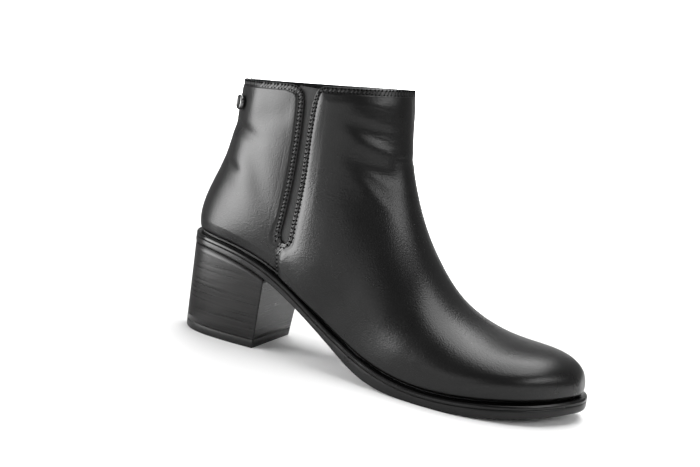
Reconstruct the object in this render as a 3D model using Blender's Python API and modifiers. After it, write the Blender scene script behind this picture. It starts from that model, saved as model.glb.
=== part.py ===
"""A woman's ankle boot with a block heel, for the right foot, standing empty on its sole.

The upper is one hollow shell on the shape of a last, cut open at the collar, underneath and at an
elastic side gore. A welt and an outsole close it below, and a stacked heel with a rubber top piece
carries the seat. Tables are in millimetres, with x from the back of the heel to the toe, y to the
inner side of the foot and z up from the floor. The mesh is written in metres.
"""
import math

import bmesh
import bpy
import numpy as np
from mathutils import Matrix, Vector

MM = 0.001

# Overall sizes
LENGTH = 244.5          # back of the sole to its toe
TOE_SIDE = 6.0          # how far the toe lies to the inner side of the heel's centre line
HEEL_END = 2.0          # x of the upper's feather line at the back
TOE_END = 242.0         # x of the upper's feather line at the toe
FEATHER_SCALE = 0.945   # breadth of the upper at the feather line, as a share of the sole's
PIVOT = (245.0, 172.5)  # x and z of the line that every section plane of the upper turns about

# Thicknesses and gaps
WALL = 1.8
GAP = 0.3
GORE_GAP = 0.35
WELT = 2.2
INSOLE = 2.5
GORE = 1.2
TOP_PIECE = 4.6
EDGE_ROUND = 0.45
INSOLE_INSET = 2.6
WELD = 0.02

# Sole's edge in plan: x, distance to the outer side, distance to the inner side
SOLE_PLAN = np.array([
    (0, 0, 0), (3, 12, 12), (10, 21, 20.8), (25, 27.6, 27.3), (42, 29.0, 28.2), (60, 28.6, 25.8),
    (80, 28.6, 22.4), (100, 30.6, 21.8), (120, 34.8, 24.6), (140, 39.4, 30.0), (158, 42.4, 35.0),
    (175, 43.4, 38.0), (192, 42.0, 39.0), (208, 37.2, 37.6), (222, 29.6, 33.6), (234, 17.6, 27.0),
    (241, 6.6, 19.6), (LENGTH, -TOE_SIDE, TOE_SIDE)])
# Middle of the last in plan: x, y
CENTRE = np.array([(0, 0), (60, 0.5), (120, 2.5), (180, 4.5), (LENGTH, TOE_SIDE)])
# Feather line, where the upper meets the sole: x, z
FEATHER = np.array([
    (HEEL_END, 58.0), (18, 57.6), (37, 55.3), (54, 50.6), (71, 42.6), (98, 26.6), (113, 19.1),
    (128, 13.1), (142, 9.5), (155, 7.6), (172, 7.0), (189, 7.8), (209, 9.7), (227, 11.7), (TOE_END, 13.6)])
# Back of the upper, from the heel seat up to the topline: x, z
BACK = np.array([
    (HEEL_END, 58.0), (0.9, 66), (2.4, 76), (5.7, 86), (10.1, 97), (13.6, 108), (16.0, 120),
    (17.4, 133), (18.0, 149.2)])
# Front of the upper, from the toe over the instep to the topline: x, z
RIDGE = np.array([
    (TOE_END, 13.6), (241.4, 20.5), (238.6, 27.0), (232.0, 31.8), (222, 34.6), (208, 35.8), (195, 37.3),
    (183, 40.7), (170.6, 47.0), (156.8, 58.7), (146, 71.4), (136.6, 86.6), (129.4, 102.8), (124.2, 118.6),
    (121.7, 131), (119.8, 146), (117.7, 159.5)])
# Outsole's underside, flat at the ball where it would pass through the floor: x, z
UNDERSIDE = np.array([
    (0, 52.2), (18, 51.8), (37, 49.4), (54, 44.5), (71, 36.0), (88.6, 25.6), (106.6, 14.8), (124.8, 5.2),
    (141.8, 0.9), (157, 0.0), (170, -0.2), (184, 0.1), (201.6, 1.5), (218.7, 3.6), (234, 5.5), (LENGTH, 6.8)])
# Widest line of the upper in side view, down the shaft to the ankle and along the foot to the toe: x, z
WIDEST_SHAFT = np.array([(71.4, 154.8), (71, 142), (67, 125), (62.5, 104), (62, 88)])
WIDEST_FOOT = np.array([
    (62, 88), (73, 73), (93, 58), (114, 42), (151, 21.5), (175, 17.5), (208, 18.5), (230, 19.5), (241.5, 18)])
# Half-breadth on that line: section plane's angle in degrees, to the outer side, to the inner side
BREADTH = np.array([
    (5.5, 34.5, 34.5), (10, 34.0, 34.0), (15, 33.2, 33.0), (20, 32.8, 32.4), (25, 32.8, 32.0), (30, 33.2, 31.4),
    (36.5, 33.8, 30.8), (45, 35.2, 30.2), (58, 39.6, 32.6), (66, 42.2, 37.0), (90, 42.2, 37.0)])
INSTEP_ROUND = 2.1      # power of the section's curve from the widest line over the instep
HEEL_ROUND = 2.2        # power of its curve from the widest line round the back
TUCK_POWER = 2.0        # power with which the upper draws in to the feather line
# Forefoot, where the sections follow the feather line: plane's angle, overhang as a share of its breadth
OVERHANG = np.array([(45, 0.12), (58, 0.05), (66, 0.045), (77, 0.045), (90, 0.06)])
FOREFOOT_FROM, FOREFOOT_TO = 45.0, 58.0
# Topline's inner side lies lower: section plane's angle added at full breadth, and the angle where that ends
TOPLINE_TILT, TOPLINE_TILT_TO = 0.45, 22.0
# Opening for the side gore, with the panels' corners rounded at the topline: z, back edge x, front edge x
GORE_SLOT = np.array([
    (65.4, 68.6, 70.6), (66.0, 67.6, 71.6), (67.4, 66.6, 72.3), (70, 66.3, 72.7), (79, 67.6, 73.1), (88, 68.4, 73.6),
    (98, 69.2, 74.0), (108, 69.8, 74.3), (119, 70.2, 74.3), (129, 70.4, 74.5), (139, 70.3, 75.0), (146.5, 69.8, 75.6),
    (149.3, 69.0, 75.9), (151.2, 67.8, 76.2), (152.6, 65.4, 76.7), (153.6, 62.0, 77.2), (155.2, 58.0, 78.4),
    (156.3, 56.0, 81.2), (157.5, 54.0, 85.0), (166, 50.0, 92.0)])
SLOT_DEPTH = (-60.0, -12.0)  # y between which the opening is cut
GORE_LAP = 4.0           # how far the gore runs behind the panels' edges
GORE_ENDS = (61.5, 150.6)  # z of the gore's lower and upper end
GORE_STRAIGHT = (70.0, 146.5)  # z between which the gore's edges follow the slot's
# Heel at its seat and at its foot: share of the sole's breadth, x of the back, x of the breast
HEEL_TOP = (0.98, 0.2, 58.4)
HEEL_FOOT = (0.845, 0.0, 55.6)
# Stud: x and z on the outer side, and its profile as radius, height
STUD_AT = (26.4, 137.0)
STUD_PROFILE = ((0, 0), (3.9, 0), (4.3, 0.4), (4.3, 1.7), (4.0, 2.1), (3.5, 2.1), (3.2, 1.8), (1.6, 1.9), (0, 1.95))
STUD_STEPS = 28

# Fineness of the meshes
BACK_ROWS = 13
FOOT_ROWS = 27
LOW_STEPS = 8
HIGH_STEPS = 8
SOLE_ROWS = 46
ACROSS = 5
HEEL_ROWS = 15
GORE_ROWS = 22
GORE_COLUMNS = 5
CURVE_POINTS = 1200


def cubic(knots, values):
    """Natural cubic curve through the values at the knots, as a function."""
    knots, values = np.asarray(knots, float), np.asarray(values, float)
    step = np.diff(knots)
    count = len(knots)
    system = np.eye(count)
    right = np.zeros(count)
    for i in range(1, count - 1):
        system[i, i - 1:i + 2] = step[i - 1], 2 * (step[i - 1] + step[i]), step[i]
        right[i] = 6 * ((values[i + 1] - values[i]) / step[i] - (values[i] - values[i - 1]) / step[i - 1])
    bend = np.linalg.solve(system, right)

    def curve(at):
        at = np.asarray(at, float)
        i = np.clip(np.searchsorted(knots, at) - 1, 0, count - 2)
        after, before = at - knots[i], knots[i + 1] - at
        bent = (bend[i] * before ** 3 + bend[i + 1] * after ** 3) / (6 * step[i])
        low = (values[i] / step[i] - bend[i] * step[i] / 6) * before
        high = (values[i + 1] / step[i] - bend[i + 1] * step[i] / 6) * after
        return bent + low + high
    return curve


def drawn(points):
    """Many points along the smooth line drawn through a few."""
    run = np.concatenate([[0], np.cumsum(np.hypot(*np.diff(points, axis=0).T))])
    at = np.linspace(0, run[-1], CURVE_POINTS)
    return np.stack([cubic(run, points[:, 0])(at), cubic(run, points[:, 1])(at)], axis=1)


def by_angle(points):
    """A line in side view as distance from the pivot against angle."""
    line = drawn(points)
    ahead, below = PIVOT[0] - line[:, 0], PIVOT[1] - line[:, 1]
    angle, radius = np.degrees(np.arctan2(below, ahead)), np.hypot(ahead, below)
    order = np.argsort(angle)
    return lambda at: np.interp(at, angle[order], radius[order])


def angle_of(x, z):
    return np.degrees(np.arctan2(PIVOT[1] - z, PIVOT[0] - x))


def rounded(x):
    """Place along the sole from 0 to 1, which runs fast at both round ends."""
    return np.arccos(np.clip(1 - 2 * np.asarray(x, float) / LENGTH, -1, 1)) / math.pi


def table(rows, column):
    """One column of a table as a smooth function of the first."""
    return cubic(rows[:, 0], rows[:, column])


feather_radius, ridge_radius, back_radius = by_angle(FEATHER), by_angle(RIDGE), by_angle(BACK)
widest_radius = by_angle(np.concatenate([WIDEST_SHAFT, WIDEST_FOOT[1:]]))
feather_height = table(FEATHER, 1)
underside_height = table(UNDERSIDE, 1)
middle = table(CENTRE, 1)
outer_plan = cubic(rounded(SOLE_PLAN[:, 0]), SOLE_PLAN[:, 1])
inner_plan = cubic(rounded(SOLE_PLAN[:, 0]), SOLE_PLAN[:, 2])
breadth_outer, breadth_inner = table(BREADTH, 1), table(BREADTH, 2)
overhang = table(OVERHANG, 1)
BACK_LINE, FOOT_LINE = drawn(BACK), drawn(WIDEST_FOOT)
COLLAR_ANGLE = angle_of(*BACK[-1])
CORNER_ANGLE = angle_of(*FEATHER[0])


def sole_edge(x, side):
    """Distance of the sole's edge from the heel's centre line, on one side of the foot."""
    return (outer_plan if side < 0 else inner_plan)(rounded(x))


def sole_top(x):
    return feather_height(np.clip(x, HEEL_END, TOE_END))


def sole_slant(x):
    """How much longer a thickness is when measured straight up through the sloping sole."""
    return np.hypot(1, (sole_top(x + 0.5) - sole_top(x - 0.5)))


def sole_underside(x):
    return np.maximum(underside_height(x), 0)


def feather_half(x, side):
    """Half-breadth of the upper at the feather line, from the middle of the last."""
    on_sole = (np.asarray(x, float) - HEEL_END) / (TOE_END - HEEL_END) * LENGTH
    full = sole_edge(on_sole, side) + (middle(on_sole) if side < 0 else -middle(on_sole))
    return np.maximum(full, 0) * FEATHER_SCALE


def section_ends(angle):
    """Distances from the pivot to the outer and the inner end of a section plane."""
    outer = np.where(angle < CORNER_ANGLE, back_radius(angle), feather_radius(angle))
    return outer, ridge_radius(angle)


def widest(angle, side):
    """Half-breadth where a section plane crosses the widest line."""
    foot = PIVOT[0] - feather_radius(angle) * np.cos(np.radians(angle))
    blend = np.clip((angle - FOREFOOT_FROM) / (FOREFOOT_TO - FOREFOOT_FROM), 0, 1)
    blend = blend * blend * (3 - 2 * blend)
    shaft = (breadth_outer if side < 0 else breadth_inner)(angle)
    return shaft * (1 - blend) + feather_half(foot, side) * (1 + overhang(angle)) * blend


def round_back(x, z):
    """How much of the full breadth is left towards the back of the shaft and heel."""
    middle_x = np.interp(z, WIDEST_SHAFT[::-1, 1], WIDEST_SHAFT[::-1, 0])
    share = np.clip((middle_x - x) / (middle_x - np.interp(z, BACK_LINE[:, 1], BACK_LINE[:, 0])), 0, 1)
    return (1 - share ** HEEL_ROUND) ** (1 / HEEL_ROUND)


def half_breadth(x, z, side):
    """Half-breadth of the upper, from the middle of the last, at a place in side view."""
    angle, reach = angle_of(x, z), np.hypot(PIVOT[0] - x, PIVOT[1] - z)
    line, ridge = widest_radius(angle), ridge_radius(angle)
    over = np.clip((line - reach) / np.maximum(line - ridge, WELD), 0, 1)
    over_instep = (1 - over ** INSTEP_ROUND) ** (1 / INSTEP_ROUND)
    floor, height = sole_top(x), np.interp(x, FOOT_LINE[:, 0], FOOT_LINE[:, 1])
    under = np.clip((height - z) / np.maximum(height - floor, WELD), 0, 1)
    at_sole = widest(angle_of(x, floor), side) * round_back(x, floor)
    drawn_in = 1 - np.clip(feather_half(x, side) / np.maximum(at_sole, WELD), 0, 1)
    return widest(angle, side) * over_instep * round_back(x, z) * (1 - drawn_in * under ** TUCK_POWER)


def side_view(angle, share):
    """The x and z on a section plane, at a share of the way from the sole or back to the front."""
    outer, inner = section_ends(angle)
    reach = outer + (inner - outer) * share
    return PIVOT[0] - reach * np.cos(np.radians(angle)), PIVOT[1] - reach * np.sin(np.radians(angle))


def on_upper(x, z, side):
    """The y of the upper's outside at a place in side view."""
    return middle(x) + side * half_breadth(x, z, side)


def surface(angle, share, side):
    """Points of the upper's outside on section planes, which tilt a little on the inner side of the topline."""
    x, z = side_view(angle, share)
    if side > 0:
        fade = np.clip((TOPLINE_TILT_TO - angle) / (TOPLINE_TILT_TO - COLLAR_ANGLE), 0, 1)
        full = half_breadth(x, z, side) / breadth_inner(COLLAR_ANGLE)
        x, z = side_view(angle + TOPLINE_TILT * fade * full, share)
    return np.stack([x, on_upper(x, z, side), z], axis=-1)


def off_upper(x, z, side, lift):
    """Points at a distance outside the upper's surface, and the surface's outward direction there."""
    small = 0.2
    run_x = (on_upper(x + small, z, side) - on_upper(x - small, z, side)) / (2 * small)
    run_z = (on_upper(x, z + small, side) - on_upper(x, z - small, side)) / (2 * small)
    out = np.stack([-run_x, np.ones_like(run_x), -run_z], axis=-1) * side
    out /= np.linalg.norm(out, axis=-1, keepdims=True)
    return np.stack([x, on_upper(x, z, side), z], axis=-1) + out * lift, out


def sheet(points):
    """A grid carried onto an array of points, rows by columns."""
    rows, columns = points.shape[:2]
    mesh = bmesh.new()
    bmesh.ops.create_grid(mesh, x_segments=rows - 1, y_segments=columns - 1, size=0.5)
    for vert in mesh.verts:
        row, column = round((vert.co.x + 0.5) * (rows - 1)), round((vert.co.y + 0.5) * (columns - 1))
        vert.co = Vector(points[row, column]) * MM
    return mesh


def slab(above, below):
    """A solid between two grids of points with the same rows and columns."""
    mesh = sheet(above)
    rows, columns = above.shape[:2]
    lower = {}
    for vert, (row, column) in zip(mesh.verts, [(r, c) for c in range(columns) for r in range(rows)]):
        lower[vert.co.to_tuple(7)] = Vector(below[row, column]) * MM
    grown = bmesh.ops.extrude_face_region(mesh, geom=mesh.faces[:], use_keep_orig=True)
    for item in grown["geom"]:
        if isinstance(item, bmesh.types.BMVert):
            item.co = lower[item.co.to_tuple(7)]
    return mesh


def finished(name, mesh, material, collection, frame):
    """The object for a mesh: welded, a solid's faces turned out, shaded smooth, with its material."""
    bmesh.ops.remove_doubles(mesh, verts=mesh.verts, dist=WELD * MM)
    bmesh.ops.dissolve_degenerate(mesh, edges=mesh.edges, dist=WELD * MM)
    if not any(edge.is_boundary for edge in mesh.edges):
        bmesh.ops.recalc_face_normals(mesh, faces=mesh.faces)
    for face in mesh.faces:
        face.smooth = True
    data = bpy.data.meshes.new(name)
    mesh.to_mesh(data)
    mesh.free()
    item = bpy.data.objects.new(name, data)
    collection.objects.link(item)
    if material:
        data.materials.append(material)
    item.parent = frame
    return item


def soft_edges(item):
    """A small round along the sharp edges of a solid."""
    bevel = item.modifiers.new("edge_round", "BEVEL")
    bevel.width = EDGE_ROUND * MM
    bevel.segments = 1
    bevel.limit_method = "ANGLE"
    bevel.angle_limit = math.radians(50)


def painted(name, colour, roughness, metallic=0.0):
    material = bpy.data.materials.new(name)
    material.use_nodes = True
    surface = material.node_tree.nodes["Principled BSDF"]
    surface.inputs["Base Color"].default_value = (*colour, 1)
    surface.inputs["Roughness"].default_value = roughness
    surface.inputs["Metallic"].default_value = metallic
    return material


def evenly_round(start, end, count):
    """Places from start to end, close together at both ends."""
    return start + (end - start) * (1 - np.cos(np.linspace(0, math.pi, count))) / 2


def upper_points():
    """Grid of the upper's outside: a row per section, columns from outer feather over the front to inner."""
    back = np.linspace(COLLAR_ANGLE, CORNER_ANGLE, BACK_ROWS)[:-1]
    foot = evenly_round(HEEL_END, TOE_END, FOOT_ROWS)
    angles = np.concatenate([back, angle_of(foot, feather_height(foot))])
    angles[BACK_ROWS - 1] = CORNER_ANGLE - 1e-6
    outer, inner = section_ends(angles)
    peak = ((outer - widest_radius(angles)) / np.maximum(outer - inner, WELD))[:, None]
    low = 1 - np.cos(np.linspace(0, math.pi / 2, LOW_STEPS + 1))
    high = np.sin(np.linspace(0, math.pi / 2, HIGH_STEPS + 1))[1:]
    shares = np.concatenate([peak * low, peak + (1 - peak) * high], axis=1)
    near, far = [surface(angles[:, None], shares, side) for side in (-1, 1)]
    points = np.concatenate([near, far[:, -2::-1]], axis=1)
    points[..., 2] += GAP
    return points


def sole_points(x, edge, height):
    """Grid across the foot at a height above each x: rows along it, columns from outer to inner side."""
    across = np.linspace(0, 1, ACROSS)
    outer, inner = -edge(x, -1), edge(x, 1)
    y = outer[:, None] + (inner - outer)[:, None] * across
    return np.stack([np.broadcast_to(x[:, None], y.shape), y, np.broadcast_to(height[:, None], y.shape)], axis=-1)


def insole_edge(x, side):
    """The insole's edge, inside the upper's wall."""
    start, end = HEEL_END + INSOLE_INSET, TOE_END - INSOLE_INSET - WALL
    on_feather = HEEL_END + (x - start) / (end - start) * (TOE_END - HEEL_END)
    half = feather_half(on_feather, side)
    return np.hypot(half, INSOLE_INSET) - INSOLE_INSET + middle(x) * side


def heel_points(share, back, breast, height):
    """Grid over the heel's D-shaped outline, at a breadth share of the sole."""
    x = back + (breast - back) * (1 - np.cos(np.linspace(0, math.pi / 2, HEEL_ROWS)))
    return sole_points(x, lambda at, side: share * sole_edge(at - back, side), height(x))


def gore_points(lift):
    """Grid of the elastic gore, running behind the panels on both sides of the slot."""
    z = np.linspace(*GORE_ENDS, GORE_ROWS)[:, None]
    start = cubic(GORE_SLOT[:, 0], GORE_SLOT[:, 1])(np.clip(z, *GORE_STRAIGHT)) - GORE_LAP
    end = cubic(GORE_SLOT[:, 0], GORE_SLOT[:, 2])(np.clip(z, *GORE_STRAIGHT)) + GORE_LAP
    x = start + (end - start) * np.linspace(0, 1, GORE_COLUMNS)
    points, _ = off_upper(x, np.broadcast_to(z, x.shape), -1, lift)
    return points


def slot_points(y):
    """Grid over the gore's opening in side view."""
    across = np.array([0.0, 1.0])
    x = GORE_SLOT[:, 1:2] + (GORE_SLOT[:, 2:3] - GORE_SLOT[:, 1:2]) * across
    return np.stack([x, np.full_like(x, y), np.broadcast_to(GORE_SLOT[:, :1], x.shape)], axis=-1)


def stud_mesh():
    """A flat round stud with a raised rim, turned from its profile and set on the outer back of the quarter."""
    mesh = bmesh.new()
    verts = [mesh.verts.new((radius * MM, 0, height * MM)) for radius, height in STUD_PROFILE]
    edges = [mesh.edges.new(pair) for pair in zip(verts, verts[1:])]
    bmesh.ops.spin(mesh, geom=verts + edges, cent=(0, 0, 0), axis=(0, 0, 1), angle=math.tau,
                   steps=STUD_STEPS, use_merge=True)
    at = [np.array([[value]]) for value in STUD_AT]
    points, out = off_upper(at[0], at[1], -1, GAP)
    turn = Vector(out[0, 0]).to_track_quat("Z", "Y").to_matrix().to_4x4()
    place = Vector(points[0, 0] + np.array([0, 0, GAP])) * MM
    bmesh.ops.transform(mesh, matrix=Matrix.Translation(place) @ turn, verts=mesh.verts)
    return mesh


def build():
    for item in list(bpy.data.objects):
        bpy.data.objects.remove(item, do_unlink=True)
    parts = bpy.data.collections.new("ankle_boot")
    cutters = bpy.data.collections.new("cutters")
    for collection in (parts, cutters):
        bpy.context.scene.collection.children.link(collection)

    edge = np.linspace(0, LENGTH, CURVE_POINTS)
    side_shift = (sole_edge(edge, -1).max() - sole_edge(edge, 1).max()) / 2
    frame = bpy.data.objects.new("boot_frame", None)
    frame.location = (-LENGTH / 2 * MM, side_shift * MM, 0)
    parts.objects.link(frame)

    leather = painted("black_leather", (0.012, 0.012, 0.012), 0.38)
    elastic = painted("black_elastic", (0.02, 0.02, 0.02), 0.8)
    edge_leather = painted("welt_leather", (0.01, 0.01, 0.01), 0.35)
    rubber = painted("outsole_rubber", (0.012, 0.012, 0.012), 0.5)
    stack = painted("stacked_heel", (0.02, 0.018, 0.017), 0.4)
    lift_rubber = painted("top_piece_rubber", (0.01, 0.01, 0.01), 0.6)
    lining = painted("insole_leather", (0.03, 0.03, 0.03), 0.7)
    steel = painted("stud_steel", (0.45, 0.45, 0.46), 0.3, 1.0)

    # Upper: shell with an even wall to the inside, opened on the outer side for the gore
    upper = finished("upper", sheet(upper_points()), leather, parts, frame)
    wall = upper.modifiers.new("wall", "SOLIDIFY")
    wall.thickness = WALL * MM
    wall.offset = -1
    wall.use_even_offset = True
    wall.use_quality_normals = True
    slot = finished("gore_slot", slab(slot_points(SLOT_DEPTH[0]), slot_points(SLOT_DEPTH[1])), None, cutters, frame)
    slot.hide_render = True
    slot.display_type = "WIRE"
    cut = upper.modifiers.new("gore_opening", "BOOLEAN")
    cut.object = slot
    cut.operation = "DIFFERENCE"
    cut.solver = "EXACT"

    # Gore: elastic strip behind the panels' edges
    inside = -(WALL + GORE_GAP)
    gore = slab(gore_points(inside), gore_points(inside - GORE))
    finished("gore", gore, elastic, parts, frame)

    # Welt, outsole and insole: plates under and inside the upper
    x = evenly_round(0, LENGTH, SOLE_ROWS)
    top, slant = sole_top(x), sole_slant(x)
    welt = slab(sole_points(x, sole_edge, top), sole_points(x, sole_edge, top - WELT * slant))
    soft_edges(finished("welt", welt, edge_leather, parts, frame))
    outsole = slab(sole_points(x, sole_edge, top - (WELT + GAP) * slant),
                   sole_points(x, sole_edge, sole_underside(x)))
    soft_edges(finished("outsole", outsole, rubber, parts, frame))
    x = evenly_round(HEEL_END + INSOLE_INSET, TOE_END - INSOLE_INSET - WALL, SOLE_ROWS)
    seat = sole_top(x) + GAP * sole_slant(x)
    insole = slab(sole_points(x, insole_edge, seat + INSOLE * sole_slant(x)), sole_points(x, insole_edge, seat))
    finished("insole", insole, lining, parts, frame)

    # Heel and its top piece
    seat = heel_points(*HEEL_TOP, lambda at: underside_height(at) - GAP * sole_slant(at))
    foot = heel_points(*HEEL_FOOT, lambda at: np.full_like(at, TOP_PIECE + GAP))
    soft_edges(finished("heel", slab(seat, foot), stack, parts, frame))
    lift = slab(heel_points(*HEEL_FOOT, lambda at: np.full_like(at, TOP_PIECE)),
                heel_points(*HEEL_FOOT, np.zeros_like))
    soft_edges(finished("top_piece", lift, lift_rubber, parts, frame))

    # Stud on the outer back of the quarter
    finished("stud", stud_mesh(), steel, parts, frame)


build()
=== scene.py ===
"""Looks of the ankle boot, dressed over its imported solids.

The upper's leather is drawn again on the same last as the solids, finely enough for its pressed edges,
creases and stitching. Sizes are in millimetres from the back of the heel, the sole's centre line and
the floor, and are turned into metres of the part's frame when a mesh is made.
"""
import math

import bmesh
import bpy
import numpy as np
from mathutils import Matrix, Vector


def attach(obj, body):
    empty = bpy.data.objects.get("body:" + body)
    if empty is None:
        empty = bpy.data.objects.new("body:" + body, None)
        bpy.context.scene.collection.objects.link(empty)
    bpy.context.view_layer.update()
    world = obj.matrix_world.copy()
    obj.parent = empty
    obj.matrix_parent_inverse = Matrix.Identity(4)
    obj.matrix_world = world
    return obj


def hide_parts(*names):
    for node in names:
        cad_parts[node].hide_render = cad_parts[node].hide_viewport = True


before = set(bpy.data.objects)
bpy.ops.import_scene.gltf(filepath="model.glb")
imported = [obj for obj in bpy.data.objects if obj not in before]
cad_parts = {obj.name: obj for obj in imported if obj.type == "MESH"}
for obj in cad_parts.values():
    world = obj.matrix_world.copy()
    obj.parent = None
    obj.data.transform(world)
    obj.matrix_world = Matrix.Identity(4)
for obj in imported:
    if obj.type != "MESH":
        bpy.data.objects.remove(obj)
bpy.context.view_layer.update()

MM = 0.001

# Overall sizes, the same as those of the solids
LENGTH = 244.5
TOE_SIDE = 6.0
HEEL_END, TOE_END = 2.0, 242.0
FEATHER_SCALE = 0.945
PIVOT = (245.0, 172.5)
GAP, WELT = 0.3, 2.2
TOP_PIECE = 4.6
GORE_DEPTH = 2.15
WELD, SLIVER = 0.02, 0.004

# Sole's edge in plan: x, distance to the outer side, distance to the inner side
SOLE_PLAN = np.array([
    (0, 0, 0), (3, 12, 12), (10, 21, 20.8), (25, 27.6, 27.3), (42, 29.0, 28.2), (60, 28.6, 25.8),
    (80, 28.6, 22.4), (100, 30.6, 21.8), (120, 34.8, 24.6), (140, 39.4, 30.0), (158, 42.4, 35.0),
    (175, 43.4, 38.0), (192, 42.0, 39.0), (208, 37.2, 37.6), (222, 29.6, 33.6), (234, 17.6, 27.0),
    (241, 6.6, 19.6), (LENGTH, -TOE_SIDE, TOE_SIDE)])
# Middle of the last in plan: x, y
CENTRE = np.array([(0, 0), (60, 0.5), (120, 2.5), (180, 4.5), (LENGTH, TOE_SIDE)])
# Feather line, back and front of the upper, and the outsole's underside: x, z
FEATHER = np.array([
    (HEEL_END, 58.0), (18, 57.6), (37, 55.3), (54, 50.6), (71, 42.6), (98, 26.6), (113, 19.1),
    (128, 13.1), (142, 9.5), (155, 7.6), (172, 7.0), (189, 7.8), (209, 9.7), (227, 11.7), (TOE_END, 13.6)])
BACK = np.array([
    (HEEL_END, 58.0), (0.9, 66), (2.4, 76), (5.7, 86), (10.1, 97), (13.6, 108), (16.0, 120),
    (17.4, 133), (18.0, 149.2)])
RIDGE = np.array([
    (TOE_END, 13.6), (241.4, 20.5), (238.6, 27.0), (232.0, 31.8), (222, 34.6), (208, 35.8), (195, 37.3),
    (183, 40.7), (170.6, 47.0), (156.8, 58.7), (146, 71.4), (136.6, 86.6), (129.4, 102.8), (124.2, 118.6),
    (121.7, 131), (119.8, 146), (117.7, 159.5)])
UNDERSIDE = np.array([
    (0, 52.2), (18, 51.8), (37, 49.4), (54, 44.5), (71, 36.0), (88.6, 25.6), (106.6, 14.8), (124.8, 5.2),
    (141.8, 0.9), (157, 0.0), (170, -0.2), (184, 0.1), (201.6, 1.5), (218.7, 3.6), (234, 5.5), (LENGTH, 6.8)])
# Widest line of the upper in side view, down the shaft and along the foot: x, z
WIDEST_SHAFT = np.array([(71.4, 154.8), (71, 142), (67, 125), (62.5, 104), (62, 88)])
WIDEST_FOOT = np.array([
    (62, 88), (73, 73), (93, 58), (114, 42), (151, 21.5), (175, 17.5), (208, 18.5), (230, 19.5), (241.5, 18)])
# Half-breadth on that line: section plane's angle in degrees, to the outer side, to the inner side
BREADTH = np.array([
    (5.5, 34.5, 34.5), (10, 34.0, 34.0), (15, 33.2, 33.0), (20, 32.8, 32.4), (25, 32.8, 32.0),
    (30, 33.2, 31.4), (36.5, 33.8, 30.8), (45, 35.2, 30.2), (58, 39.6, 32.6), (66, 42.2, 37.0),
    (90, 42.2, 37.0)])
INSTEP_ROUND, HEEL_ROUND, TUCK_POWER = 2.1, 2.2, 2.0
OVERHANG = np.array([(45, 0.12), (58, 0.05), (66, 0.045), (77, 0.045), (90, 0.06)])
FOREFOOT_FROM, FOREFOOT_TO = 45.0, 58.0
TOPLINE_TILT, TOPLINE_TILT_TO = 0.45, 22.0
# Heel at its seat and at its foot: share of the sole's breadth, x of the back, x of the breast
HEEL_TOP = (0.98, 0.2, 58.4)
HEEL_FOOT = (0.845, 0.0, 55.6)
STUD_AT = (26.4, 137.0)

# Edge of the gore's opening, from the topline down the quarter, round the bottom and up the vamp: x, z
SLOT_EDGE = np.array([
    (54, 152.9), (58, 153.31), (61.5, 153.5), (64.4, 153.1), (66.6, 152.1), (68.3, 150.5), (69.4, 148.4),
    (69.9, 146), (70.3, 139), (70.4, 129), (70.2, 119), (69.8, 108), (69.2, 98), (68.4, 88), (67.6, 79),
    (66.4, 70.5), (66.5, 68), (67.5, 66.2), (69.3, 65.4), (71.1, 66.0), (72.3, 67.7), (72.7, 70.5),
    (73.1, 79), (73.6, 88), (74, 98), (74.3, 108), (74.3, 119), (74.5, 129), (75, 139), (75.6, 147),
    (76.2, 150.4), (77.4, 153.2), (79.4, 155.0), (82, 155.75), (86, 156.18), (90, 156.6)])
SEAM_X = 66.9           # x of the seam from the gore's lower end down to the sole
SEAM_TOP = 65.4

# Creases and dents by side: x, z, lie in degrees from the floor, half length, half breadth, height
OUTER, INNER = -1, 1
CREASES = {
    OUTER: (
        # Rolls across the front of the ankle, with the troughs between them
        (106, 141.6, -16, 13, 4.2, 0.35), (107, 135.6, -18, 12, 4.0, -0.85), (108, 126.4, -24, 14, 6.2, 1.25),
        (110, 115.6, -30, 13, 6.0, -1.05), (109, 105.0, -43, 16, 8.0, 0.75), (100, 106.5, -62, 13, 7.0, -0.5),
        # Lesser folds on them
        (110, 149.2, -20, 9, 2.0, 0.08), (112, 145.2, -18, 9, 2.0, -0.12), (111, 133.6, -22, 10, 2.4, 0.2),
        (113, 129.6, -24, 9, 2.4, -0.18), (106, 119.0, -30, 10, 2.6, 0.2), (111, 111.5, -34, 11, 2.6, 0.25),
        (114, 105.6, -38, 11, 2.8, -0.25), (117, 99.0, -44, 11, 3.0, 0.2),
        # Broad fullness beside them
        (94, 112, 0, 17, 24, 0.6),
        # Dents at the back of the quarter, and its soft fullness
        (31, 122.6, -10, 12, 4.2, -1.3), (27, 101.4, -16, 8, 3.0, -0.9), (38, 139, 90, 11, 7.0, 0.9),
        (52, 134, 18, 18, 6.0, -0.5), (37, 97, -62, 16, 8.0, 0.7), (46, 104, -68, 20, 6.5, -0.5)),
    INNER: (
        (104, 146, -14, 12, 4.2, 0.8), (106, 139.4, -16, 12, 4.0, -0.9), (107, 128, -22, 13, 6.2, 1.2),
        (109, 117, -30, 13, 6.0, -1.2), (106, 106, -43, 15, 6.4, 1.1), (30, 120, -10, 11, 4.0, -0.8)),
}
# Distances over which they begin: from the gore's opening, and from the front edge
CREASE_FROM_SLOT, CREASE_FROM_FRONT = (5, 11), (1, 7)
# Notch that a fold makes in the front edge: z, half breadth, depth, and how far back it reaches
FRONT_NOTCH = (121.0, 2.2, 0.4, 9)

# Fineness of the curves, and small steps
CURVE_POINTS = 1600
TINY = 1e-6              # keeps a place off a seam or a corner
POLE_TURN = 0.012        # least turn from the back at which a normal is taken
LEAST = 1e-9             # keeps a division off zero


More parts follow.
